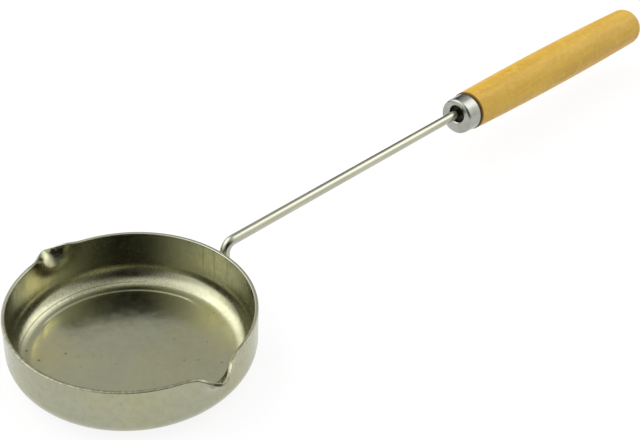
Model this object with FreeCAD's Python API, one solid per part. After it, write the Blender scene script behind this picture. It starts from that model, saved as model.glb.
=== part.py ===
import FreeCAD, Part
import math
import os
from FreeCAD import Vector

# A small hand ladle for pouring molten metal. A pressed sheet-steel bowl has two opposed
# pouring lips. A bent wire shank is welded to the outside of its wall and runs into a turned
# wooden handle through a drawn steel ferrule.
#
# Frame: millimetres, +Z up. The origin is the centre of the bowl's flat underside, the shank
# leaves the bowl towards +X, and the pouring lips face +Y and -Y.

# ---- bowl ----
BOWL_RADIUS = 40.0            # outside of the wall
BOWL_HEIGHT = 19.7            # underside to rim
SHEET = 1.2                   # thickness of the pressed sheet
BOTTOM_CORNER = 8.0           # outside radius between wall and underside

# ---- pouring lips, one each side of the shank ----
LIP_AZIMUTHS = (90.3, -93.0)  # degrees round the bowl, measured from the shank
LIP_REACH = 5.05              # how far the tip stands out from the wall
LIP_FLANKS = (23.0, 25.0)     # along the rim from tip to plain wall, clockwise and back
LIP_PINCH = 14                # power that draws both flanks in to a narrow tip
LIP_DROP = 2.85               # how far the tip lies below the rim
LIP_DIPS = (7.2, 12.4)        # along the rim from tip to level rim, clockwise and back
LIP_FLARE = 2.4               # power with which the lip bends out from corner to rim
LIP_SAG = 2.4                 # power with which the drop grows from corner to rim

# ---- shank ----
WIRE_DIAMETER = 3.5
WIRE_ABOVE_RIM = 0.4          # gap from the rim's height up to the underside of the wire
WIRE_SIDE_OFFSET = 1.4        # the shank runs this far to the +Y side of the bowl's centre
BEND_RADIUS = 3.6             # centreline radius of the bend above the leg
LEG_FOOT_HEIGHT = 7.5         # lower end of the leg above the bowl's underside
SHANK_REACH = 124.95          # from the leg's centreline to the front of the ferrule
TANG_LENGTH = 62.0            # wire inside the handle, from the front of the ferrule

# ---- weld between leg and bowl ----
WELD_HALF_WIDTH = 2.3         # each side of the leg's middle
WELD_LENGTH = 9.6             # along the leg
WELD_FOOT_GAP = 0.6           # bare leg below the weld
WELD_PROUD = 1.25             # how far the weld builds up from the bowl's wall

# ---- ferrule ----
FERRULE_LENGTH = 7.1
FERRULE_FRONT_RADIUS = 7.0
FERRULE_BACK_RADIUS = 7.35
FERRULE_SHEET = 0.6
FERRULE_FRONT_ROUND = 1.1     # outside radius round the front edge
FERRULE_HOLE_RADIUS = 3.4
FERRULE_HOLE_RAISED = 1.2     # the hole sits this far above the ferrule's own axis
FERRULE_LIP_ROUND = 1.0       # radius of the hole's edge, which is rolled inwards

# ---- handle ----
HANDLE_LENGTH = 120.25        # behind the ferrule
HANDLE_NECK_RADIUS = 7.65
HANDLE_BELLY_RADIUS = 8.6
HANDLE_BUTT_RADIUS = 8.05
BUTT_ROUND = 4.0              # radius round the end of the handle
NECK_ROUND = 0.7              # radius round the shoulder at the ferrule
SPIGOT_LENGTH = 4.4           # wood inside the ferrule
HANDLE_SET_DOWN = 1.56        # handle's axis below the wire's, at the shoulder
HANDLE_DROOP = 1.26           # degrees the handle's axis dips below the wire's

# ---- fits ----
TANG_CLEARANCE = 0.03         # round the wire in the handle's bore
SPIGOT_CLEARANCE = 0.03       # between spigot and ferrule

# ---- how finely the lipped wall is drawn ----
PLAIN_STEP = 6.45             # along the wall, on each plain stretch between the lips
LIP_STEP = 1.33               # along the wall, across each lip
CORNER_SECTIONS = 7
WALL_SECTIONS = 8

WIRE_RADIUS = WIRE_DIAMETER / 2
WIRE_AXIS_Z = BOWL_HEIGHT + WIRE_ABOVE_RIM + WIRE_RADIUS
LEG_DISTANCE = BOWL_RADIUS + WIRE_RADIUS
LEG_AZIMUTH = math.asin(WIRE_SIDE_OFFSET / LEG_DISTANCE)
LEG_X = LEG_DISTANCE * math.cos(LEG_AZIMUTH)
FERRULE_FRONT_X = LEG_X + SHANK_REACH
SHOULDER = Vector(
    FERRULE_FRONT_X + FERRULE_LENGTH, WIRE_SIDE_OFFSET, WIRE_AXIS_Z - HANDLE_SET_DOWN
)
X_AXIS = Vector(1, 0, 0)
Y_AXIS = Vector(0, 1, 0)
Z_AXIS = Vector(0, 0, 1)
FULL_TURN = 360


# ---------------------------------------------------------------- bowl
def hump(away, reaches, power):
    """1 at a lip's tip, falling to 0 at the given distances along the rim to either side."""
    reach = reaches[0] if away < 0 else reaches[1]
    if abs(away) >= reach:
        return 0.0
    return math.cos(math.pi * away / (2 * reach)) ** power


def distance_from_tip(angle):
    """Along the rim from the nearer lip's tip, positive anticlockwise."""
    tips = [math.radians(azimuth) for azimuth in LIP_AZIMUTHS]
    turns = [math.remainder(angle - tip, 2 * math.pi) for tip in tips]
    return BOWL_RADIUS * min(turns, key=abs)


def outer_wall_point(angle, rise):
    """A point of the wall's outside. rise is 0 at the top of the corner and 1 at the rim."""
    away = distance_from_tip(angle)
    swell = hump(away, LIP_FLANKS, LIP_PINCH)
    dip = hump(away, LIP_DIPS, 2)
    up = max(rise, 0.0)
    radius = BOWL_RADIUS + LIP_REACH * swell * up**LIP_FLARE
    straight = BOTTOM_CORNER + (BOWL_HEIGHT - BOTTOM_CORNER) * rise
    z = straight - LIP_DROP * dip * up**LIP_SAG
    return Vector(radius * math.cos(angle), radius * math.sin(angle), z)


def inner_wall_point(angle, rise):
    """The same point carried through the sheet, square to the outside."""
    small = 1e-4
    along = outer_wall_point(angle + small, rise) - outer_wall_point(angle - small, rise)
    upward = outer_wall_point(angle, rise + small) - outer_wall_point(angle, rise - small)
    outward = along.cross(upward)
    outward.normalize()
    return outer_wall_point(angle, rise) - outward * SHEET


def corner_point(angle, turn, radius):
    """A point of the round corner under the wall. turn runs from 0 at the wall to a right angle."""
    out = BOWL_RADIUS - BOTTOM_CORNER + radius * math.cos(turn)
    z = BOTTOM_CORNER - radius * math.sin(turn)
    return Vector(out * math.cos(angle), out * math.sin(angle), z)


def section_angles():
    """Angles once round the bowl, closer together across the two lips."""
    before, after = (flank / BOWL_RADIUS for flank in LIP_FLANKS)
    first, second = (math.radians(azimuth) for azimuth in LIP_AZIMUTHS)
    second_again = second + 2 * math.pi
    stretches = (
        (second + after, first - before, PLAIN_STEP),
        (first - before, first + after, LIP_STEP),
        (first + after, second_again - before, PLAIN_STEP),
        (second_again - before, second_again + after, LIP_STEP),
    )
    angles = []
    for start, end, step in stretches:
        count = round((end - start) * BOWL_RADIUS / step)
        angles += [start + (end - start) * i / count for i in range(count)]
    return angles


def closed_section(point_at):
    curve = Part.BSplineCurve()
    curve.interpolate([point_at(angle) for angle in section_angles()], PeriodicFlag=True)
    return Part.Wire([curve.toShape()])


def skin(sections, ruled=False):
    return Part.makeLoft(sections, False, ruled).Faces


def skins_of(wall_point, corner_radius):
    """The wall and corner faces of one side of the sheet, with their rim and floor sections."""
    wall = []
    for i in range(WALL_SECTIONS):
        rise = i / (WALL_SECTIONS - 1)
        wall.append(closed_section(lambda angle, rise=rise: wall_point(angle, rise)))
    corner = [wall[0]]
    for i in range(1, CORNER_SECTIONS):
        turn = math.pi / 2 * i / (CORNER_SECTIONS - 1)
        corner.append(closed_section(lambda angle, turn=turn: corner_point(angle, turn, corner_radius)))
    return skin(wall) + skin(corner), wall[-1], corner[-1]


def bowl():
    outside, outer_rim, underside_edge = skins_of(outer_wall_point, BOTTOM_CORNER)
    inside, inner_rim, floor_edge = skins_of(inner_wall_point, BOTTOM_CORNER - SHEET)
    rim = skin([outer_rim, inner_rim], ruled=True)
    flats = [Part.Face(underside_edge), Part.Face(floor_edge)]
    shell = Part.makeShell(outside + inside + rim + flats)
    shell.sewShape()
    solid = Part.makeSolid(shell.Shells[0])
    if solid.Volume < 0:
        solid.reverse()
    return solid


# ---------------------------------------------------------------- shank and weld
def shank():
    """The leg against the wall, the bend, and the straight run into the handle."""
    foot = Vector(LEG_X, WIRE_SIDE_OFFSET, LEG_FOOT_HEIGHT)
    bend_start = Vector(LEG_X, WIRE_SIDE_OFFSET, WIRE_AXIS_Z - BEND_RADIUS)
    bend_end = Vector(LEG_X + BEND_RADIUS, WIRE_SIDE_OFFSET, WIRE_AXIS_Z)
    inset = BEND_RADIUS * (1 - math.cos(math.pi / 4))
    bend_middle = Vector(LEG_X + inset, WIRE_SIDE_OFFSET, WIRE_AXIS_Z - inset)
    tip = Vector(FERRULE_FRONT_X + TANG_LENGTH, WIRE_SIDE_OFFSET, WIRE_AXIS_Z)
    path = Part.Wire(
        [
            Part.LineSegment(foot, bend_start).toShape(),
            Part.Arc(bend_start, bend_middle, bend_end).toShape(),
            Part.LineSegment(bend_end, tip).toShape(),
        ]
    )
    section = Part.Wire([Part.makeCircle(WIRE_RADIUS, foot, Z_AXIS)])
    return path.makePipeShell([section], True, False)


def weld_beads():
    """The metal run into the crevice on each side of the leg."""
    bottom = LEG_FOOT_HEIGHT + WELD_FOOT_GAP
    wall_side = BOWL_RADIUS - SHEET
    box = Part.makeBox(
        BOWL_RADIUS + WELD_PROUD - wall_side,
        2 * WELD_HALF_WIDTH,
        WELD_LENGTH,
        Vector(wall_side, -WELD_HALF_WIDTH, bottom),
    )
    box.rotate(Vector(), Z_AXIS, math.degrees(LEG_AZIMUTH))
    wall = Part.makeCylinder(BOWL_RADIUS, BOWL_HEIGHT)
    leg_start = Vector(LEG_X, WIRE_SIDE_OFFSET, LEG_FOOT_HEIGHT)
    leg = Part.makeCylinder(WIRE_RADIUS, BOWL_HEIGHT, leg_start)
    return box.cut(wall).cut(leg)


# ---------------------------------------------------------------- ferrule and handle
def set_on_handle_axis(shape):
    """Moves a shape from the handle's own frame, with its shoulder at the origin, into place."""
    shape.rotate(Vector(), Y_AXIS, HANDLE_DROOP)
    shape.translate(SHOULDER)
    return shape


def turned(edges):
    """A solid of revolution round the handle's axis."""
    return Part.Face(Part.Wire(edges)).revolve(Vector(), X_AXIS, FULL_TURN)


def ferrule_outline(inset):
    """Points of the cup's outside, or of its inside where inset is the sheet: along, radius."""
    slope = (FERRULE_BACK_RADIUS - FERRULE_FRONT_RADIUS) / FERRULE_LENGTH
    front = -FERRULE_LENGTH + inset
    rounding = FERRULE_FRONT_ROUND - inset
    face_edge = FERRULE_FRONT_RADIUS - FERRULE_FRONT_ROUND
    side_start = FERRULE_FRONT_RADIUS - inset + slope * FERRULE_FRONT_ROUND
    bevel = rounding * (1 - math.cos(math.pi / 4))
    return {
        "back": (0.0, FERRULE_BACK_RADIUS - inset),
        "side_start": (-FERRULE_LENGTH + FERRULE_FRONT_ROUND, side_start),
        "round_middle": (front + bevel, side_start - bevel),
        "face_edge": (front, face_edge),
    }


def at(point):
    return Vector(point[0], 0, point[1])


def ferrule():
    """A drawn cup whose front has a raised hole with its edge rolled inwards."""
    outside = ferrule_outline(0.0)
    inside = ferrule_outline(FERRULE_SHEET)
    front = -FERRULE_LENGTH
    edges = [
        Part.LineSegment(at(outside["back"]), at(outside["side_start"])),
        Part.Arc(at(outside["side_start"]), at(outside["round_middle"]), at(outside["face_edge"])),
        Part.LineSegment(at(outside["face_edge"]), at((front, 0.0))),
        Part.LineSegment(at((front, 0.0)), at((front + FERRULE_SHEET, 0.0))),
        Part.LineSegment(at((front + FERRULE_SHEET, 0.0)), at(inside["face_edge"])),
        Part.Arc(at(inside["face_edge"]), at(inside["round_middle"]), at(inside["side_start"])),
        Part.LineSegment(at(inside["side_start"]), at(inside["back"])),
        Part.LineSegment(at(inside["back"]), at(outside["back"])),
    ]
    cup = turned([edge.toShape() for edge in edges])
    hole_centre = Vector(front, 0, FERRULE_HOLE_RAISED)
    opening_radius = FERRULE_HOLE_RADIUS + FERRULE_LIP_ROUND
    cup = cup.cut(Part.makeCylinder(opening_radius, FERRULE_SHEET, hole_centre, X_AXIS))
    rolled = rolled_edge()
    rolled.translate(hole_centre)
    return set_on_handle_axis(cup.fuse(rolled))


def rolled_edge():
    """The hole's edge, with the middle of the hole's front at the origin."""
    across = FERRULE_HOLE_RADIUS + FERRULE_LIP_ROUND
    inner_roll = FERRULE_LIP_ROUND - FERRULE_SHEET

    def roll_point(radius, turn):
        along = FERRULE_LIP_ROUND - radius * math.cos(turn)
        return at((along, across - radius * math.sin(turn)))

    def quarter(radius, start, end):
        middle = roll_point(radius, math.pi / 4)
        return Part.Arc(roll_point(radius, start), middle, roll_point(radius, end))

    throat = math.pi / 2
    edges = [
        quarter(FERRULE_LIP_ROUND, 0, throat),
        Part.LineSegment(roll_point(FERRULE_LIP_ROUND, throat), roll_point(inner_roll, throat)),
        quarter(inner_roll, throat, 0),
        Part.LineSegment(roll_point(inner_roll, 0), roll_point(FERRULE_LIP_ROUND, 0)),
    ]
    return turned([edge.toShape() for edge in edges])


def handle():
    """The turned grip with its spigot in the ferrule and a bore for the wire."""
    neck = (0.0, HANDLE_NECK_RADIUS)
    belly = (HANDLE_LENGTH / 2, HANDLE_BELLY_RADIUS)
    butt = (HANDLE_LENGTH, HANDLE_BUTT_RADIUS)
    slope = (FERRULE_BACK_RADIUS - FERRULE_FRONT_RADIUS) / FERRULE_LENGTH
    spigot_back = FERRULE_BACK_RADIUS - FERRULE_SHEET - SPIGOT_CLEARANCE
    spigot_front = spigot_back - slope * SPIGOT_LENGTH
    edges = [
        Part.LineSegment(Vector(-SPIGOT_LENGTH, 0, 0), at((-SPIGOT_LENGTH, spigot_front))),
        Part.LineSegment(at((-SPIGOT_LENGTH, spigot_front)), at((0.0, spigot_back))),
        Part.LineSegment(at((0.0, spigot_back)), at(neck)),
        Part.Arc(at(neck), at(belly), at(butt)),
        Part.LineSegment(at(butt), Vector(HANDLE_LENGTH, 0, 0)),
        Part.LineSegment(Vector(HANDLE_LENGTH, 0, 0), Vector(-SPIGOT_LENGTH, 0, 0)),
    ]
    grip = turned([edge.toShape() for edge in edges])
    grip = grip.makeFillet(BUTT_ROUND, circles_at(grip, HANDLE_LENGTH, HANDLE_BUTT_RADIUS))
    grip = grip.makeFillet(NECK_ROUND, circles_at(grip, 0.0, HANDLE_NECK_RADIUS))
    grip = set_on_handle_axis(grip)
    bore_start = Vector(FERRULE_FRONT_X, WIRE_SIDE_OFFSET, WIRE_AXIS_Z)
    bore = Part.makeCylinder(WIRE_RADIUS + TANG_CLEARANCE, TANG_LENGTH, bore_start, X_AXIS)
    return grip.cut(bore)


def circles_at(solid, along, radius):
    """The round edges of a turned solid at one place along the handle's axis."""
    near = 1e-4
    found = []
    for edge in solid.Edges:
        round_edge = isinstance(edge.Curve, Part.Circle) and abs(edge.Curve.Radius - radius) < near
        if round_edge and abs(edge.Curve.Center.x - along) < near:
            found.append(edge)
    return found


PIECES = {
    "bowl": bowl,
    "shank": shank,
    "weld_beads": weld_beads,
    "ferrule": ferrule,
    "handle": handle,
}

os.makedirs("parts", exist_ok=True)
for name, make in PIECES.items():
    make().exportStep(f"parts/{name}.step")
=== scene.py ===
import math

import bpy
import numpy as np
from mathutils import Matrix, Vector


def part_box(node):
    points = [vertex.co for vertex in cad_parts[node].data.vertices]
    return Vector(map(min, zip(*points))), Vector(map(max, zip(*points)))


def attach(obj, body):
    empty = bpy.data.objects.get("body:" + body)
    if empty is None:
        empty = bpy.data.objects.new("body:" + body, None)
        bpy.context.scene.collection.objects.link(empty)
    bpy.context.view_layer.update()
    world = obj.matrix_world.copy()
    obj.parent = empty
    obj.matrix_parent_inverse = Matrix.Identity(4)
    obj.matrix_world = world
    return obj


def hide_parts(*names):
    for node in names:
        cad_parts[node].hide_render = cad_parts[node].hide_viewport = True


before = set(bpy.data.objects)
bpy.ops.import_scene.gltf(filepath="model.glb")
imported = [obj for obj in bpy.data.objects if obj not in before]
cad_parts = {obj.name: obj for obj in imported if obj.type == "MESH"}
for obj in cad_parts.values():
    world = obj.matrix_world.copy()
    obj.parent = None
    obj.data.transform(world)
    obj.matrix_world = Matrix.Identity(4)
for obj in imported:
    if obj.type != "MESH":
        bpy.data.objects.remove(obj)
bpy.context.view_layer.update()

# A small pouring ladle: a pressed and plated steel bowl with two pinched lips, a bright wire
# shank welded to its wall, a drawn ferrule and a varnished turned handle. It lies in the frame
# of the solids, with the middle of the bowl's underside at the origin and the handle along +X.
# Lengths are typed in millimetres, and MM turns them into the scene's metres.
MM = 0.001


# ---------------------------------------------------------------- sizes, in millimetres
bowl_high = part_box("bowl")[1] / MM
shank_low, shank_high = (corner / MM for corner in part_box("shank"))
weld_low, weld_high = (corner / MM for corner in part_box("weld_beads"))

# Bowl: a round pan with a round corner between wall and floor.
BOWL_RADIUS = bowl_high.x
BOWL_HEIGHT = 19.7
SHEET = 1.2
CORNER = 8.0
RIM_ROUND = 0.3
# Two lips, at these degrees round the bowl. Flanks and dips are measured along the rim from a
# lip's tip, clockwise and back. The powers shape the pinch, the flare outwards and the sag.
LIP_AZIMUTHS = (90.3, -93.0)
LIP_REACH = 5.05
LIP_FLANKS = (23.0, 25.0)
LIP_PINCH = 14
LIP_DROP = 2.85
LIP_DIPS = (7.2, 12.4)
LIP_DIP_POWER = 2
LIP_FLARE = 2.4
LIP_SAG = 2.4
# The floor's disc, pressed down with a crisp step that softens away from one side, and the
# slight dish inside it.
DISC_RADIUS = 33.3
DISC_CENTRE = (-1.3, -0.3)
DISC_DEPTH = 0.22
DISC_CRISP_SLOPE = 1.3
DISC_SOFT_SLOPE = 6.3
DISC_CRISP_SIDE = math.radians(62)
DISC_CRISP_FROM = 0.3
DISC_CRISP_OVER = 0.4
DISH_DEPTH = 0.22
DISH_START = 16.0
DISH_END = 34.5
# How closely the bowl's mesh follows it: points in a row, and rows of points.
BOWL_POINTS = 640
UNDERSIDE_RINGS = (0.5, 12, 24, 31.5)
CORNER_ROWS = 16
WALL_ROWS = 25
EDGE_ROWS = 8
INNER_CORNER_ROWS = 24
STEP_RINGS = np.arange(34.55, 30.2, -0.15)
FLOOR_RINGS = (30, 28.5, 27, 25.5, 24, 22, 20, 18, 16, 13, 10, 7, 4, 1)

# Shank: a wire with a leg against the wall, a bend over the rim and a tang in the handle.
WIRE_RADIUS = 1.75
WIRE_Y = (shank_low.y + shank_high.y) / 2
WIRE_Z = shank_high.z - WIRE_RADIUS
BEND_RADIUS = 3.6
LEG_FOOT = shank_low.z
TANG_END = shank_high.x
LEG_DISTANCE = BOWL_RADIUS + WIRE_RADIUS
LEG_AZIMUTH = math.asin(WIRE_Y / LEG_DISTANCE)
LEG_X = LEG_DISTANCE * math.cos(LEG_AZIMUTH)
FOOT_ROUND = 0.3
WIRE_POINTS = 64
FOOT_ROWS = 2
LEG_ROWS = 14
BEND_ROWS = 24
STRAIGHT_ROWS = 120

# Weld: a rippled bead down each side of the leg. Its edges lie this far out on the wall and
# this far round the leg, and are sunk a little into each. Its root is hidden inside both:
# how far towards the wall from the leg's middle, or in from the wall, and how far out.
BEAD_START = weld_low.z
BEAD_END = weld_high.z
BEAD_ON_WALL = 2.15
BEAD_ON_LEG = math.radians(66)
BEAD_SUNK_IN_WALL = 0.03
BEAD_SUNK_IN_LEG = 0.02
BEAD_BULGE = (0.225, 0.18)
BEAD_RIPPLE = 0.85
BEAD_RIPPLE_DEPTH = 0.12
BEAD_RIPPLE_BOW = 0.5
BEAD_END_SIZE = 0.15
BEAD_END_POWER = 7
ROOT_IN_LEG = (1.566, 0.662)
ROOT_IN_WALL = (0.05, 0.5)
BEAD_ROWS = 110
BEAD_POINTS = 14

# Ferrule and handle, turned round one axis. Lengths run from the shoulder where the two meet.
SHANK_REACH = 124.95
HANDLE_SET_DOWN = 1.56
DROOP = math.radians(1.26)
FERRULE_LENGTH = 7.1
FERRULE_FRONT = 7.0
FERRULE_BACK = 7.35
FERRULE_SHEET = 0.6
FERRULE_ROUND = 1.1
FERRULE_SLOPE = (FERRULE_BACK - FERRULE_FRONT) / FERRULE_LENGTH
HOLE_RADIUS = 3.4
HOLE_RAISED = 1.2
HOLE_ROUND = 1.0
HANDLE_LENGTH = 120.25
NECK = 7.65
BELLY = 8.6
BUTT = 8.05
BUTT_ROUND = 4.0
NECK_ROUND = 0.7
SPIGOT = 4.4
SPIGOT_CLEARANCE = 0.03
SPIGOT_CHAMFER = 0.2
SHOULDER = Vector((LEG_X + SHANK_REACH + FERRULE_LENGTH, WIRE_Y, WIRE_Z - HANDLE_SET_DOWN))
# Rings on the flat ends of the wood, and rings close to the shoulder that keep its edge crisp.
SPIGOT_FACE_RINGS = (2.5, 5.0)
BUTT_FACE_RINGS = (3.0, 1.5)
SHOULDER_NEAR = 0.4
SHOULDER_CRISP = 0.02
FERRULE_POINTS = 128
FERRULE_SIDE_ROWS = 8
FERRULE_ROUND_ROWS = 9
HOLE_ROWS = 12
HANDLE_POINTS = 160
NECK_ROWS = 9
BARREL_ROWS = 89
BUTT_ROWS = 19


# ---------------------------------------------------------------- mesh helpers
def surface(name, rows, cap_start=False, cap_end=False, loop=False, marks=None):
    """A smooth mesh through rows of points. Each row runs once round and follows the section.

    marks holds one number a row for each named attribute that a material reads."""
    rows = [np.asarray(row, float) * MM for row in rows]
    count = len(rows[0])
    points = [tuple(point) for row in rows for point in row]
    pairs = [(i, i + 1) for i in range(len(rows) - 1)]
    if loop:
        pairs.append((len(rows) - 1, 0))
    faces = []
    for i, j in pairs:
        for k in range(count):
            m = (k + 1) % count
            faces.append((i * count + k, i * count + m, j * count + m, j * count + k))
    if cap_start:
        points.append(tuple(rows[0].mean(0)))
        faces += [(len(points) - 1, (k + 1) % count, k) for k in range(count)]
    if cap_end:
        base = (len(rows) - 1) * count
        points.append(tuple(rows[-1].mean(0)))
        faces += [(len(points) - 1, base + k, base + (k + 1) % count) for k in range(count)]
    mesh = bpy.data.meshes.new(name)
    mesh.from_pydata(points, [], faces)
    mesh.update()
    for key, per_row in (marks or {}).items():
        values = np.zeros(len(points))
        values[: len(rows) * count] = np.repeat(per_row, count)
        mesh.attributes.new(key, "FLOAT", "POINT").data.foreach_set("value", values)
    mesh.shade_smooth()
    return linked(name, mesh)


def linked(name, data):
    made = bpy.data.objects.new(name, data)
    bpy.context.scene.collection.objects.link(made)
    return made


def turns(count):
    """Angles evenly spaced once round."""
    return np.linspace(0, 2 * math.pi, count, endpoint=False)


def quarter(count):
    """Angles evenly spaced from 0 to a right angle, both included."""
    return np.linspace(0, math.pi / 2, count)


def ease(part):
    """0 up to 0 and 1 from 1, with a smooth rise between them."""
    part = np.clip(part, 0, 1)
    return part * part * (3 - 2 * part)


# ---------------------------------------------------------------- bowl
def ring(angle, radius, z):
    """Points round the bowl's middle. radius and z are one number each, or one for each angle."""
    return np.stack([radius * np.cos(angle), radius * np.sin(angle), z + 0 * angle], 1)


def distance_from_tip(angle):
    """Distance along the rim from the nearer lip's tip, negative on its clockwise side."""
    first, second = (
        np.remainder(angle - math.radians(tip) + math.pi, 2 * math.pi) - math.pi for tip in LIP_AZIMUTHS
    )
    return BOWL_RADIUS * np.where(np.abs(first) < np.abs(second), first, second)


def hump(away, reaches, power):
    """1 at a lip's tip, falling to 0 at its reach on either side."""
    reach = np.where(away < 0, *reaches)
    part = np.clip(np.abs(away) / reach, 0, 1)
    return np.cos(math.pi / 2 * part) ** power


def outer_wall(angle, rise):
    """Points on the outside of the wall, with rise 0 at the top of the corner and 1 at the rim."""
    away = distance_from_tip(angle)
    swell = hump(away, LIP_FLANKS, LIP_PINCH)
    dip = hump(away, LIP_DIPS, LIP_DIP_POWER)
    up = max(rise, 0.0)
    radius = BOWL_RADIUS + LIP_REACH * swell * up**LIP_FLARE
    return ring(angle, radius, CORNER + (BOWL_HEIGHT - CORNER) * rise - LIP_DROP * dip * up**LIP_SAG)


def wall_directions(angle, rise):
    """Unit vectors along the sheet's outward normal and up its slope."""
    small = 1e-4
    along = outer_wall(angle + small, rise) - outer_wall(angle - small, rise)
    upward = outer_wall(angle, rise + small) - outer_wall(angle, rise - small)
    outward = np.cross(along, upward)
    outward /= np.linalg.norm(outward, axis=1)[:, None]
    upward /= np.linalg.norm(upward, axis=1)[:, None]
    return outward, upward


def coined(points):
    """Sinks the middle of the floor: a slight dish, and the step that the press left round it."""
    x, y = points[:, 0], points[:, 1]
    radius = np.hypot(x, y)
    toward_crisp = (x * math.cos(DISC_CRISP_SIDE) + y * math.sin(DISC_CRISP_SIDE)) / radius
    crisp = ease((toward_crisp - DISC_CRISP_FROM) / DISC_CRISP_OVER)
    slope = DISC_SOFT_SLOPE + (DISC_CRISP_SLOPE - DISC_SOFT_SLOPE) * crisp
    from_disc = np.hypot(x - DISC_CENTRE[0], y - DISC_CENTRE[1])
    points[:, 2] -= DISC_DEPTH * ease((DISC_RADIUS - from_disc) / slope)
    points[:, 2] -= DISH_DEPTH * ease((DISH_END - radius) / (DISH_END - DISH_START))
    return points


def outside_of_bowl(angle, rises):
    """Rows from the middle of the underside, round the corner and up the wall."""
    rows = [ring(angle, radius, 0.0) for radius in UNDERSIDE_RINGS]
    for turn in quarter(CORNER_ROWS)[::-1]:
        radius = BOWL_RADIUS - CORNER + CORNER * math.cos(turn)
        rows.append(ring(angle, radius, CORNER - CORNER * math.sin(turn)))
    return rows + [outer_wall(angle, rise) for rise in rises]


def edge_of_bowl(angle):
    """The rim, rounded from the outside over its flat top to the inside."""
    outward, upward = wall_directions(angle, 1.0)
    edge = outer_wall(angle, 1.0)
    rows = []
    centre = edge - RIM_ROUND * (outward + upward)
    for turn in quarter(EDGE_ROWS + 1)[1:]:
        rows.append(centre + RIM_ROUND * (outward * math.cos(turn) + upward * math.sin(turn)))
    centre = edge - outward * (SHEET - RIM_ROUND) - upward * RIM_ROUND
    for turn in quarter(EDGE_ROWS + 1)[:0:-1]:
        rows.append(centre + RIM_ROUND * (-outward * math.cos(turn) + upward * math.sin(turn)))
    return rows


def inside_of_bowl(angle, rises):
    """Rows down the inside of the wall, round its foot and across the floor to the middle."""
    rows = []
    for rise in rises[::-1]:
        outward, _ = wall_directions(angle, rise)
        rows.append(outer_wall(angle, rise) - SHEET * outward)
    inner = CORNER - SHEET
    for turn in quarter(INNER_CORNER_ROWS):
        radius = BOWL_RADIUS - CORNER + inner * math.cos(turn)
        if radius > STEP_RINGS[0]:
            rows.append(ring(angle, radius, CORNER - inner * math.sin(turn)))
    for radius in STEP_RINGS:
        past_corner = max(radius - BOWL_RADIUS + CORNER, 0)
        rows.append(coined(ring(angle, radius, CORNER - math.sqrt(inner**2 - past_corner**2))))
    return rows + [coined(ring(angle, radius, SHEET)) for radius in FLOOR_RINGS]


def make_bowl():
    angle = turns(BOWL_POINTS)
    rises = np.linspace(0, 1, WALL_ROWS + 2)[1:-1]
    rises[-1] = 1 - RIM_ROUND / (BOWL_HEIGHT - CORNER)
    parts = (outside_of_bowl(angle, rises), edge_of_bowl(angle), inside_of_bowl(angle, rises))
    rows = [row for part in parts for row in part]
    counts = [len(part) for part in parts]
    marks = {"rim": np.repeat((0.0, 1.0, 0.0), counts), "inside": np.repeat((0.0, 0.0, 1.0), counts)}
    return surface("bowl_shell", rows, cap_start=True, cap_end=True, marks=marks)


# ---------------------------------------------------------------- shank
def wire_path():
    """Sections along the wire from its foot: the middle, the way the wire runs, and the radius."""
    path = []
    up = Vector((0, 0, 1))
    for turn in quarter(FOOT_ROWS + 1)[:-1]:
        z = LEG_FOOT + FOOT_ROUND * (1 - math.cos(turn))
        path.append((Vector((LEG_X, WIRE_Y, z)), up, WIRE_RADIUS - FOOT_ROUND * (1 - math.sin(turn))))
    bend_start = WIRE_Z - BEND_RADIUS
    for z in np.linspace(LEG_FOOT + FOOT_ROUND, bend_start, LEG_ROWS):
        path.append((Vector((LEG_X, WIRE_Y, z)), up, WIRE_RADIUS))
    for turn in quarter(BEND_ROWS + 2)[1:-1]:
        x = LEG_X + BEND_RADIUS * (1 - math.cos(turn))
        z = bend_start + BEND_RADIUS * math.sin(turn)
        path.append((Vector((x, WIRE_Y, z)), Vector((math.sin(turn), 0, math.cos(turn))), WIRE_RADIUS))
    for x in np.linspace(LEG_X + BEND_RADIUS, TANG_END, STRAIGHT_ROWS):
        path.append((Vector((x, WIRE_Y, WIRE_Z)), Vector((1, 0, 0)), WIRE_RADIUS))
    return path


def make_shank():
    side = np.array((0, 1, 0))
    angle = turns(WIRE_POINTS)[::-1, None]
    rows = []
    for centre, along, radius in wire_path():
        other = np.cross(along, side)
        rows.append(np.array(centre) + radius * (side * np.cos(angle) + other * np.sin(angle)))
    return surface("shank_wire", rows, cap_start=True, cap_end=True)


# ---------------------------------------------------------------- weld
def bead_row(z, full, side):
    """One section of a bead, level with z and full at 1, in the crevice between leg and wall."""
    row = []
    for along in np.linspace(0, 1, BEAD_POINTS):
        bowed = z - BEAD_RIPPLE_BOW * math.sin(math.pi * along)
        crest = abs(math.sin(math.pi * bowed / BEAD_RIPPLE))
        swell = full * (1 - BEAD_RIPPLE_DEPTH + BEAD_RIPPLE_DEPTH * crest)
        out = BEAD_ON_WALL * swell
        on_wall = Vector((math.sqrt(BOWL_RADIUS**2 - out**2) - BEAD_SUNK_IN_WALL, out))
        lean = BEAD_ON_LEG * swell
        from_leg = WIRE_RADIUS - BEAD_SUNK_IN_LEG
        on_leg = Vector((LEG_DISTANCE - from_leg * math.cos(lean), from_leg * math.sin(lean)))
        row.append(on_wall.lerp(on_leg, along) + Vector(BEAD_BULGE) * swell * math.sin(math.pi * along))
    row.append((LEG_DISTANCE - ROOT_IN_LEG[0], ROOT_IN_LEG[1]))
    row.append((BOWL_RADIUS - ROOT_IN_WALL[0], ROOT_IN_WALL[1]))
    return [(x, y * side, z) for x, y in row]


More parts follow.
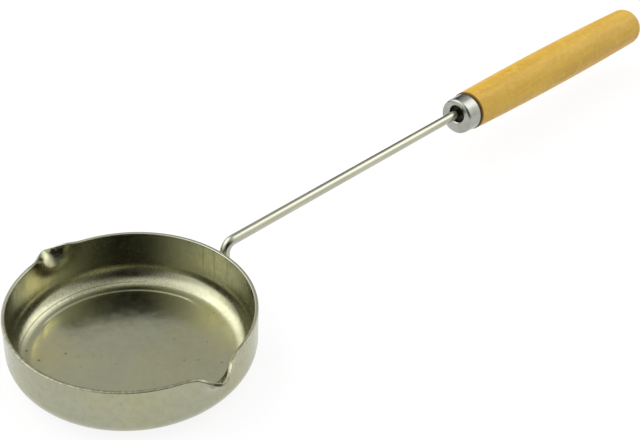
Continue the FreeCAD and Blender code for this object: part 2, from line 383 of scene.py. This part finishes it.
def make_welds():
    made = []
    turn = Matrix.Rotation(LEG_AZIMUTH, 3, "Z")
    for name, side in (("weld_left", 1), ("weld_right", -1)):
        rows = []
        for part in np.linspace(0, 1, BEAD_ROWS):
            z = BEAD_START + (BEAD_END - BEAD_START) * part
            rounded = math.sqrt(1 - abs(2 * part - 1) ** BEAD_END_POWER)
            full = BEAD_END_SIZE + (1 - BEAD_END_SIZE) * rounded
            row = [tuple(turn @ Vector(point)) for point in bead_row(z, full, side)]
            rows.append(row if side > 0 else row[::-1])
        made.append(surface(name, rows, cap_start=True, cap_end=True))
    return made


# ---------------------------------------------------------------- turned pieces
def turned_row(along, radius, raised, count):
    """A ring round the handle's axis, moved from the handle's own frame into the ladle's."""
    angle = turns(count)
    x = along + 0 * angle
    points = np.stack([x, radius * np.cos(angle), radius * np.sin(angle) + raised], 1)
    return points @ np.array(Matrix.Rotation(DROOP, 3, "Y")).T + np.array(SHOULDER)


def ferrule_skin(inset):
    """One skin of the cup in section, from its open back round its front to the hole's rolled edge."""
    section = []
    side_start = FERRULE_FRONT - inset + FERRULE_SLOPE * FERRULE_ROUND
    back = FERRULE_BACK - inset
    side_length = FERRULE_LENGTH - FERRULE_ROUND
    for part in np.linspace(0, 1, FERRULE_SIDE_ROWS):
        section.append((-side_length * part, back + (side_start - back) * part, 0))
    drop = side_start - (FERRULE_FRONT - FERRULE_ROUND)
    for turn in quarter(FERRULE_ROUND_ROWS + 1)[1:]:
        along = -side_length - (FERRULE_ROUND - inset) * math.sin(turn)
        section.append((along, side_start - drop * (1 - math.cos(turn)), 0))
    rolled = HOLE_ROUND - inset
    for turn in quarter(HOLE_ROWS):
        along = HOLE_ROUND - FERRULE_LENGTH - rolled * math.cos(turn)
        section.append((along, HOLE_RADIUS + HOLE_ROUND - rolled * math.sin(turn), HOLE_RAISED))
    return section


def make_ferrule():
    section = ferrule_skin(0.0) + ferrule_skin(FERRULE_SHEET)[::-1]
    rows = [turned_row(along, radius, raised, FERRULE_POINTS) for along, radius, raised in section]
    return surface("ferrule_cup", rows, loop=True)


def barrel_arc():
    """The arc through the barrel's neck, belly and butt, as its centre and radius."""
    neck, belly, butt = np.array(((0, NECK), (HANDLE_LENGTH / 2, BELLY), (HANDLE_LENGTH, BUTT)))
    chords = np.array((belly - neck, butt - neck))
    centre = np.linalg.solve(2 * chords, (chords * (chords + 2 * neck)).sum(1))
    return centre, np.linalg.norm(centre - neck)


def make_handle():
    centre, arc = barrel_arc()

    def barrel(along):
        return centre[1] + math.sqrt(arc**2 - (along - centre[0]) ** 2)

    spigot_back = FERRULE_BACK - FERRULE_SHEET - SPIGOT_CLEARANCE
    spigot_front = spigot_back - FERRULE_SLOPE * SPIGOT
    section = [(-SPIGOT, radius) for radius in SPIGOT_FACE_RINGS]
    section += [(-SPIGOT, spigot_front - SPIGOT_CHAMFER), (SPIGOT_CHAMFER - SPIGOT, spigot_front)]
    section += [(-SHOULDER_NEAR, spigot_back), (-SHOULDER_CRISP, spigot_back)]
    section += [(0, spigot_back + SHOULDER_CRISP), (0, NECK - NECK_ROUND)]
    for turn in quarter(NECK_ROWS + 1)[1:]:
        along = NECK_ROUND * (1 - math.cos(turn))
        section.append((along, barrel(along) - NECK_ROUND * (1 - math.sin(turn))))
    butt_start = HANDLE_LENGTH - BUTT_ROUND
    barrel_rows = np.linspace(NECK_ROUND, butt_start, BARREL_ROWS + 1)[1:]
    section += [(along, barrel(along)) for along in barrel_rows]
    for turn in quarter(BUTT_ROWS + 1)[1:]:
        along = butt_start + BUTT_ROUND * math.sin(turn)
        section.append((along, barrel(butt_start) - BUTT_ROUND * (1 - math.cos(turn))))
    section += [(HANDLE_LENGTH, radius) for radius in BUTT_FACE_RINGS]
    rows = [turned_row(along, radius, 0.0, HANDLE_POINTS)[::-1] for along, radius in section]
    return surface("grip", rows, cap_start=True, cap_end=True)


# ---------------------------------------------------------------- shader nodes
class Nodes:
    """The nodes of one material or of the world. Each method gives back what its nodes put out."""

    def __init__(self, owner, output):
        owner.use_nodes = True
        self.tree = owner.node_tree
        self.tree.nodes.clear()
        self.output = self.add(output)

    def add(self, kind, inputs=None, **settings):
        made = self.tree.nodes.new(kind)
        for key, value in settings.items():
            setattr(made, key, value)
        for key, value in (inputs or {}).items():
            if isinstance(value, bpy.types.NodeSocket):
                self.tree.links.new(value, made.inputs[key])
            else:
                made.inputs[key].default_value = value
        return made

    def show(self, shader):
        self.tree.links.new(shader.outputs[0], self.output.inputs[0])

    def calc(self, operation, first, second=0.0):
        return self.add("ShaderNodeMath", {0: first, 1: second}, operation=operation).outputs[0]

    def times(self, value, *others):
        for other in others:
            value = self.calc("MULTIPLY", value, other)
        return value

    def plus(self, value, *others):
        for other in others:
            value = self.calc("ADD", value, other)
        return value

    def minus(self, first, second):
        return self.calc("SUBTRACT", first, second)

    def apart(self, first, second):
        return self.calc("ABSOLUTE", self.minus(first, second))

    def vector(self, operation, *values):
        made = self.add("ShaderNodeVectorMath", dict(enumerate(values)), operation=operation)
        return made.outputs["Vector"]

    def number(self, operation, *values):
        made = self.add("ShaderNodeVectorMath", dict(enumerate(values)), operation=operation)
        return made.outputs["Value"]

    def place(self):
        """Where a point lies on its piece, as one vector and as its x, y and z, in metres."""
        where = self.add("ShaderNodeTexCoord").outputs["Object"]
        return where, self.split(where)

    def split(self, vector):
        return tuple(self.add("ShaderNodeSeparateXYZ", {0: vector}).outputs)

    def join(self, x, y, z=0.0):
        return self.add("ShaderNodeCombineXYZ", {0: x, 1: y, 2: z}).outputs[0]

    def mark(self, name):
        """What surface() was told of each row under this name."""
        return self.add("ShaderNodeAttribute", attribute_name=name).outputs["Fac"]

    def fade(self, value, start, end, low=0.0, high=1.0):
        """low on start's side and high on end's side, with a smooth change between the two."""
        ends = {"Value": value, "From Min": start, "From Max": end, "To Min": low, "To Max": high}
        return self.add("ShaderNodeMapRange", ends, interpolation_type="SMOOTHSTEP").outputs["Result"]

    def fade_mm(self, length, start, end, low=0.0, high=1.0):
        return self.fade(length, start * MM, end * MM, low, high)

    def near(self, where, point, full, gone):
        """1 within full of a point and 0 beyond gone, in millimetres."""
        return self.fade_mm(self.number("DISTANCE", where, Vector(point) * MM), gone, full)

    def noise(self, where, scale, detail=3.0, rough=0.5, output="Fac"):
        """Noise with about scale waves a metre."""
        inputs = {"Vector": where, "Scale": scale, "Detail": detail, "Roughness": rough}
        return self.add("ShaderNodeTexNoise", inputs).outputs[output]

    def torn(self, where, at, scale, reach):
        """where, moved about by up to half of reach, so that an edge laid over it comes out torn."""
        stray = self.vector("SUBTRACT", self.noise(at, scale, 2.0, output="Color"), (0.5, 0.5, 0.5))
        moved = self.add("ShaderNodeVectorMath", {0: stray, "Scale": reach * MM}, operation="SCALE")
        return self.vector("ADD", where, moved.outputs["Vector"])


class Finish(Nodes):
    """A material with one Principled shader."""

    def __init__(self, name, settings):
        self.material = bpy.data.materials.new(name)
        super().__init__(self.material, "ShaderNodeOutputMaterial")
        self.shader = self.add("ShaderNodeBsdfPrincipled", settings)
        self.show(self.shader)

    def finished(self, colour, layers, rough, bumps):
        """The material, with its colour, roughness and bumps linked.

        Each layer is a share from 0 to 1 and the colour that it lays over the ones before it. Each
        bump is a height from 0 to 1 and its depth in millimetres."""
        for share, over in layers:
            mix = self.add("ShaderNodeMix", {0: share, 6: colour, 7: over}, data_type="RGBA")
            colour = mix.outputs[2]
        links = {"Base Color": colour, "Roughness": rough}
        for height, depth in bumps:
            inputs = {"Height": height, "Distance": depth * MM, "Strength": 1.0}
            if "Normal" in links:
                inputs["Normal"] = links["Normal"]
            links["Normal"] = self.add("ShaderNodeBump", inputs).outputs[0]
        for key, value in links.items():
            self.tree.links.new(value, self.shader.inputs[key])
        return self.material


METAL = {"Metallic": 1.0}


# ---------------------------------------------------------------- the bowl's plated steel
STEEL = (0.4, 0.398, 0.255, 1)
STEEL_YELLOW = (0.41, 0.392, 0.22, 1)
STEEL_GREY = (0.378, 0.383, 0.275, 1)
STEEL_STAINED = (0.43, 0.4, 0.225, 1)
STEEL_STREAK = (0.3, 0.29, 0.19, 1)
STEEL_MOTTLE = (0.3, 0.3, 0.2, 1)
STEEL_GRAIN = (0.2, 0.19, 0.12, 1)
RIM_BRIGHT = (0.5, 0.495, 0.4, 1)
RIM_WORN = (0.22, 0.215, 0.145, 1)
GRIME = (0.09, 0.085, 0.055, 1)
WALL_LINE = (0.2, 0.18, 0.1, 1)
SCORE_LINE = (0.12, 0.115, 0.07, 1)
HEAT_TAN = (0.7, 0.63, 0.36, 1)
# Painted shade, near black, in the fold at one lip.
FOLD_SHADE = (0.012, 0.01, 0.008, 1)
# Yellowed patches on the floor: where, and how far they reach.
TARNISH = ((-17.7, 17.8, 11.0), (25.2, -6.5, 9.0), (23.7, -19.1, 8.0))
# Dark pits in the floor: where, and how far across.
PITS = (
    (-16.1, 14.2, 0.5),
    (-14.0, 10.7, 0.45),
    (-16.6, 5.9, 0.35),
    (-7.8, -0.6, 0.4),
    (8.9, -14.3, 0.5),
    (12.1, -17.4, 0.45),
    (-24.8, 23.4, 0.5),
    (-24.3, 17.4, 0.6),
    (20.2, -12.9, 0.4),
    (16.6, -23.8, 0.5),
)
# Fine lines down the inside of the wall, either side of the leg: how far along Y.
WALL_LINES = (8.1, 3.4, -2.9)
# A line that the press scored round the foot of the wall: its centre and radius.
SCORE_CENTRE = (-0.6, 0.0, 0.0)
SCORE_RADIUS = 35.5
# The tan patch that heat left beside one lip, and painted shade, near black, in the fold at that lip's
# root.
HEATED = (-8.5, 38.0, 12.0)
FOLD_SHADE_SPOTS = ((3.7, 41.2, 17.4), (1.9, 42.2, 17.2))
# Directions from the bowl's middle: to the coarsest grain in the corner, and to the worn rim.
GRAINY_SIDE = (0.42, 0.91, 0.0)
WORN_SIDE = (-0.75, -0.66, 0.0)


class BowlSteel(Finish):
    """Dull plating with the marks of the press, of handling and of hot metal, and painted shade in the fold
    at one lip.

    A method named after a mark gives how much of it shows, from 0 to 1."""

    def __init__(self):
        super().__init__("plated_steel", METAL)
        self.where, (self.x, self.y, self.z) = self.place()
        self.flat = self.join(self.x, self.y)
        self.radius = self.number("LENGTH", self.flat)
        self.spoke = self.vector("NORMALIZE", self.flat)
        self.inside = self.mark("inside")
        self.rim = self.mark("rim")
        self.off_disc = self.fade_mm(self.radius, 27, 34)
        self.patches = self.noise(self.where, 95, 4, 0.6)

    def streaks(self):
        """Noise drawn out into streaks, from the floor's edge outwards and up the wall."""
        round_x, round_y, _ = self.split(self.spoke)
        outwards = self.times(self.plus(self.radius, self.z), 9.0)
        return self.noise(self.join(round_x, round_y, outwards), 34, 5, 0.65)

    def tarnish(self):
        for x, y, reach in TARNISH:
            patch = self.near(self.flat, (x, y, 0), reach / 4, reach)
            yield self.times(patch, self.fade(self.patches, 0.3, 0.6, 0.2, 0.65))

    def pits(self):
        torn = self.torn(self.flat, self.where, 1300, 1.1)
        for x, y, across in PITS:
            yield self.times(self.near(torn, (x, y, 0), across / 4, across * 1.1), 0.8, self.inside)

    def pores(self):
        cells = self.add("ShaderNodeTexVoronoi", {"Vector": self.where, "Scale": 300.0})
        pore = self.fade(cells.outputs["Distance"], 0.13, 0.05)
        on_floor = self.fade_mm(self.z, 4, 2)
        return self.times(pore, self.fade(self.patches, 0.54, 0.64, high=0.5), on_floor)

    def wall_lines(self):
        for y in WALL_LINES:
            line = self.fade_mm(self.apart(self.y, y * MM), 0.45, 0.1)
            on_wall = self.times(self.fade_mm(self.x, 36, 37), self.fade_mm(self.z, 6, 12, high=0.5))
            yield self.times(line, on_wall, self.inside)

    def orange_peel(self):
        """The coarse grain that bending left in the corner."""
        grain = self.fade(self.noise(self.where, 1700, 3, 0.65), 0.45, 0.66)
        corner = self.times(self.fade_mm(self.radius, 32.5, 34), self.fade_mm(self.z, 7, 4.5), self.inside)
        side = self.fade(self.number("DOT_PRODUCT", self.spoke, GRAINY_SIDE), 0.7, 0.93)
        return self.times(grain, corner, side)

    def score(self):
        from_centre = self.number("DISTANCE", self.flat, Vector(SCORE_CENTRE) * MM)
        line = self.fade_mm(self.apart(from_centre, SCORE_RADIUS * MM), 0.28, 0.05)
        return self.times(line, self.inside, self.fade_mm(self.y, 20, 30))

    def handled_rim(self):
        side = self.fade(self.number("DOT_PRODUCT", self.spoke, WORN_SIDE), -0.1, 0.6)
        return self.times(self.rim, side)

    def heat(self):
        patch = self.near(self.where, HEATED, 3, 10)
        return self.times(patch, self.fade(self.patches, 0.3, 0.6, 0.65, 0.95), self.inside)

    def fold_shade(self):
        torn = self.torn(self.where, self.where, 420, 3.4)
        return self.calc("MAXIMUM", *(self.near(torn, spot, 1.1, 1.9) for spot in FOLD_SHADE_SPOTS))


def bowl_steel():
    steel = BowlSteel()
    clouds = steel.noise(steel.where, 32, 4)
    mottle = steel.noise(steel.where, 420, 3, 0.6)
    grain = steel.noise(steel.where, 2600, 2)
    streaks = steel.streaks()
    streak = steel.times(steel.fade(streaks, 0.5, 0.75, high=0.35), steel.off_disc)
    pores = steel.pores()
    peel = steel.orange_peel()
    score = steel.score()
    handled = steel.handled_rim()
    scuffed = steel.fade(steel.noise(steel.where, 900, 3, 0.6), 0.42, 0.58, high=0.65)
    fold_shade = steel.fold_shade()
    layers = (
        (steel.fade(clouds, 0.35, 0.68), STEEL),
        (steel.fade(steel.patches, 0.5, 0.8, high=0.6), STEEL_YELLOW),
        *((patch, STEEL_STAINED) for patch in steel.tarnish()),
        (streak, STEEL_STREAK),
        *((pit, GRIME) for pit in steel.pits()),
        (pores, GRIME),
        *((line, WALL_LINE) for line in steel.wall_lines()),
        (steel.times(peel, 0.7), STEEL_GRAIN),
        (steel.fade(mottle, 0.42, 0.62, high=0.22), STEEL_MOTTLE),
        (steel.times(steel.minus(steel.rim, handled), 0.6), RIM_BRIGHT),
        (steel.times(handled, scuffed), RIM_WORN),
        (steel.times(score, 0.6), SCORE_LINE),
        (steel.heat(), HEAT_TAN),
        # painted shade: the fold at one lip, near black
        (steel.times(fold_shade, 0.93, steel.inside), FOLD_SHADE),
    )
    rough = steel.plus(
        steel.fade(clouds, 0.3, 0.7, 0.15, 0.21),
        steel.fade(mottle, 0.35, 0.7, high=0.06),
        steel.times(streak, 0.15),
        steel.times(pores, 0.3),
        steel.times(peel, 0.06),
        steel.times(steel.rim, 0.04),
        steel.times(fold_shade, 0.4),
    )
    bumps = (
        (clouds, 0.35),
        (mottle, 0.012),
        (grain, 0.0022),
        (steel.times(streaks, steel.off_disc), 0.012),
        (steel.minus(1.0, score), 0.012),
        (peel, 0.006),
    )
    return steel.finished(STEEL_GREY, layers, rough, bumps)


# ---------------------------------------------------------------- the shank's drawn wire
WIRE = (0.43, 0.43, 0.345, 1)
WIRE_PALE = (0.5, 0.49, 0.38, 1)
WIRE_BAND = (0.38, 0.38, 0.29, 1)
WIRE_SCUFF = (0.24, 0.23, 0.16, 1)


def bright_wire():
    wire = Finish("drawn_wire", METAL)
    where, (x, y, z) = wire.place()
    lengthwise = wire.join(wire.times(x, 0.03), y, z)
    drawn = wire.noise(lengthwise, 3200, 3, 0.6)
    bands = wire.noise(lengthwise, 700, 2)
    clouds = wire.noise(where, 60, 4, 0.6)
    scuffs = wire.noise(where, 900, 4, 0.65)
    layers = (
        (wire.fade(clouds, 0.35, 0.65), WIRE_PALE),
        (wire.fade(bands, 0.45, 0.75, high=0.5), WIRE_BAND),
        (wire.fade(scuffs, 0.62, 0.75, high=0.6), WIRE_SCUFF),
    )
    rough = wire.plus(wire.fade(clouds, 0.3, 0.7, 0.15, 0.22), wire.fade(drawn, 0.4, 0.7, high=0.08))
    return wire.finished(WIRE, layers, rough, ((drawn, 0.004), (scuffs, 0.006), (clouds, 0.06)))


# ---------------------------------------------------------------- weld metal
WELD = (0.36, 0.34, 0.27, 1)
WELD_BROWN = (0.27, 0.22, 0.15, 1)
WELD_SCALE = (0.13, 0.12, 0.1, 1)


def weld_metal():
    weld = Finish("weld_bead", METAL)
    where, _ = weld.place()
    clouds = weld.noise(where, 240, 4, 0.6)
    scale = weld.noise(where, 2400, 3, 0.6)
    layers = (
        (weld.fade(clouds, 0.35, 0.65), WELD_BROWN),
        (weld.fade(scale, 0.55, 0.7, high=0.7), WELD_SCALE),
    )
    rough = weld.fade(scale, 0.35, 0.7, 0.28, 0.5)
    return weld.finished(WELD, layers, rough, ((scale, 0.02), (clouds, 0.05)))


# ---------------------------------------------------------------- the ferrule's steel
FERRULE_STEEL = (0.36, 0.365, 0.325, 1)
FERRULE_PALE = (0.425, 0.43, 0.385, 1)
FERRULE_SCUFF = (0.27, 0.272, 0.235, 1)
# Painted shade on the ferrule's back edge, where it meets the wood.
FERRULE_JOINT_SHADE = (0.16, 0.13, 0.08, 1)


def along_handle(nodes, where):
    """How far a point lies behind the handle's shoulder, in metres."""
    from_shoulder = nodes.vector("SUBTRACT", where, SHOULDER * MM)
    return nodes.number("DOT_PRODUCT", from_shoulder, (math.cos(DROOP), 0.0, -math.sin(DROOP)))


def ferrule_steel():
    steel = Finish("ferrule_steel", METAL)
    where, (_, y, z) = steel.place()
    along = along_handle(steel, where)
    turned = steel.noise(steel.join(steel.times(along, 40.0), y, z), 220, 3, 0.6)
    clouds = steel.noise(where, 180, 4, 0.6)
    scuffs = steel.noise(where, 1500, 4, 0.65)
    layers = (
        (steel.fade(clouds, 0.35, 0.65), FERRULE_PALE),
        (steel.fade(scuffs, 0.6, 0.75, high=0.5), FERRULE_SCUFF),
        # painted shade on the ferrule's back edge, at the joint with the wood
        (steel.fade_mm(along, -0.4, 0, high=0.8), FERRULE_JOINT_SHADE),
    )
    rough = steel.plus(steel.fade(clouds, 0.3, 0.7, 0.2, 0.27), steel.fade(turned, 0.4, 0.7, high=0.06))
    return steel.finished(FERRULE_STEEL, layers, rough, ((turned, 0.004), (scuffs, 0.004), (clouds, 0.05)))


# ---------------------------------------------------------------- the handle's varnished wood
WOOD = (0.62, 0.365, 0.05, 1)
WOOD_PALE = (0.73, 0.46, 0.07, 1)
WOOD_GRAIN = (0.53, 0.29, 0.025, 1)
WOOD_MOTTLE = (0.77, 0.5, 0.08, 1)
WOOD_CLOUD = (0.74, 0.485, 0.07, 1)
WOOD_FLECK = (0.3, 0.15, 0.02, 1)
WOOD_PORE = (0.3, 0.16, 0.02, 1)
NECK_SHADE = (0.17, 0.085, 0.008, 1)
# The wood of the spigot, inside the ferrule, made darker.
SPIGOT_DARK = (0.07, 0.068, 0.045, 1)
VARNISH = {"Specular IOR Level": 0.17, "Coat Weight": 0.08, "Coat Roughness": 0.22}


def varnished_wood():
    wood = Finish("varnished_wood", VARNISH)
    where, (x, y, z) = wood.place()
    along = along_handle(wood, where)

    def fibres(squeeze, scale, detail, rough=0.5):
        return wood.noise(wood.join(wood.times(x, squeeze), y, z), scale, detail, rough)

    figure = fibres(0.12, 150, 3)
    grain = fibres(0.05, 800, 3, 0.6)
    pores = fibres(0.09, 3200, 2)
    flecks = fibres(0.3, 1500, 2)
    clouds = wood.noise(where, 55, 4)
    mottle = wood.noise(where, 380, 4, 0.6)
    layers = (
        (wood.fade(figure, 0.32, 0.68), WOOD_PALE),
        (wood.fade(grain, 0.45, 0.75, high=0.3), WOOD_GRAIN),
        (wood.fade(mottle, 0.45, 0.65, high=0.5), WOOD_MOTTLE),
        (wood.fade(clouds, 0.5, 0.72, high=0.5), WOOD_CLOUD),
        (wood.fade(flecks, 0.66, 0.78, high=0.6), WOOD_FLECK),
        (wood.fade(pores, 0.6, 0.75, high=0.3), WOOD_PORE),
        (wood.fade_mm(along, 1.4, 0.6), NECK_SHADE),
        # the spigot inside the ferrule darker, from about a millimetre in front of the shoulder
        (wood.fade_mm(along, -0.8, -1.6), SPIGOT_DARK),
    )
    rough = wood.fade(grain, 0.35, 0.7, 0.4, 0.52)
    return wood.finished(WOOD, layers, rough, ((pores, 0.01), (grain, 0.02), (clouds, 0.08)))


# ---------------------------------------------------------------- the ladle
for pieces, node, slot, finish in (
    ([make_bowl()], "bowl", "bowl_steel", bowl_steel),
    ([make_shank()], "shank", "wire_steel", bright_wire),
    ([make_ferrule()], "ferrule", "ferrule_steel", ferrule_steel),
    ([make_handle()], "handle", "varnished_wood", varnished_wood),
    (make_welds(), "weld_beads", "weld_metal", weld_metal),
):
    made = finish()
    for piece in pieces:
        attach(piece, "root")
        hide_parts(node)
        piece.data.materials.append(made)


# ---------------------------------------------------------------- floor
# How far the floor reaches each way, and how far below the bowl it lies.
FLOOR_REACH = 4000
FLOOR_BELOW = 0.02
MATT_PAPER = {"Base Color": (0.9, 0.9, 0.9, 1), "Roughness": 1.0, "Specular IOR Level": 0.0}
WHITE = (1, 1, 1, 1)
# To the camera and in reflections, this share of the floor is plain glow, and the rest is lit
# paper, which keeps the shadow.
GLOW_SHARE = 0.84
GLOW = 1.04


def make_floor():
    corners = ((-1, -1), (1, -1), (1, 1), (-1, 1))
    mesh = bpy.data.meshes.new("floor")
    points = [(x * FLOOR_REACH * MM, y * FLOOR_REACH * MM, -FLOOR_BELOW * MM) for x, y in corners]
    mesh.from_pydata(points, [], [(0, 1, 2, 3)])
    nodes = Finish("paper", MATT_PAPER)
    path = nodes.add("ShaderNodeLightPath").outputs
    seen = nodes.calc("MAXIMUM", path["Is Camera Ray"], path["Is Glossy Ray"])
    seen = nodes.calc("MAXIMUM", seen, path["Is Transmission Ray"])
    share = nodes.times(seen, GLOW_SHARE)
    glow = nodes.add("ShaderNodeEmission", {"Color": WHITE, "Strength": GLOW})
    nodes.show(nodes.add("ShaderNodeMixShader", {0: share, 1: nodes.shader.outputs[0], 2: glow.outputs[0]}))
    mesh.materials.append(nodes.material)
    return linked("floor", mesh)


floor = make_floor()


# ---------------------------------------------------------------- camera
# Which way the camera looks, and where it stands and its lens in millimetres.
HEADING = math.radians(41.365)
PITCH = math.radians(35.147)
ROLL = math.radians(2.912)
CAMERA_AT = Vector((-196.665, -250.245, 276.720))
LENS = 72.3586
SENSOR = 36
NEAREST = 10


def make_camera():
    level_forward = Vector((math.cos(HEADING), math.sin(HEADING), 0))
    forward = level_forward * math.cos(PITCH) - Vector((0, 0, math.sin(PITCH)))
    level_right = Vector((math.sin(HEADING), -math.cos(HEADING), 0))
    level_up = level_right.cross(forward)
    right = level_right * math.cos(ROLL) + level_up * math.sin(ROLL)
    up = level_up * math.cos(ROLL) - level_right * math.sin(ROLL)
    lens = bpy.data.cameras.new("camera")
    lens.lens = LENS
    lens.sensor_width = SENSOR
    lens.clip_start = NEAREST * MM
    camera = linked("camera", lens)
    turned = Matrix((right, up, -forward)).transposed()
    camera.matrix_world = Matrix.Translation(CAMERA_AT * MM) @ turned.to_4x4()
    return camera


bpy.context.scene.camera = make_camera()


# ---------------------------------------------------------------- studio
# Soft round lights: bearing to the right of the camera's heading, elevation and reach in
# degrees, and brightness at the middle.
SOFT_LIGHTS = (
    (80, 8, 44, 0.6),
    (120, 8, 44, 0.2),
    (200, 8, 44, 0.1),
    (240, 8, 44, 0.5),
    (40, 38, 44, 0.6),
    (80, 38, 44, 0.55),
    (240, 38, 44, 0.65),
    (280, 38, 44, 0.8),
    (320, 38, 44, 0.45),
    (90, 66, 44, 0.45),
    (270, 66, 44, 1.05),
    (55, 20, 26, 0.3),
    (55, 45, 26, 1.1),
    (28, 45, 26, 0.1),
    (-28, 45, 26, 0.3),
    (-55, 20, 26, 0.4),
    (-55, 45, 26, 1.05),
    (-28, 20, 26, 0.4),
    (-85, 30, 26, 0.2),
)


def make_studio():
    """The world: white where it is seen, and soft lights for all that falls on the ladle."""
    world = bpy.data.worlds.new("studio")
    nodes = Nodes(world, "ShaderNodeOutputWorld")
    toward = nodes.add("ShaderNodeTexCoord").outputs["Generated"]
    light = 0.0
    for bearing, elevation, reach, brightness in SOFT_LIGHTS:
        turn = HEADING - math.radians(bearing)
        rise = math.radians(elevation)
        middle = (math.cos(turn) * math.cos(rise), math.sin(turn) * math.cos(rise), math.sin(rise))
        close = nodes.number("DOT_PRODUCT", toward, middle)
        light = nodes.plus(nodes.fade(close, math.cos(math.radians(reach)), 1.0, high=brightness), light)
    path = nodes.add("ShaderNodeLightPath").outputs
    seen = nodes.calc("MAXIMUM", path["Is Camera Ray"], path["Is Transmission Ray"])
    level = nodes.add("ShaderNodeMix", {"Factor": seen, "A": light, "B": 1.0}, data_type="FLOAT")
    nodes.show(nodes.add("ShaderNodeBackground", {"Color": WHITE, "Strength": level.outputs[0]}))
    return world


bpy.context.scene.world = make_studio()
bpy.context.scene.view_settings.view_transform = "Standard"
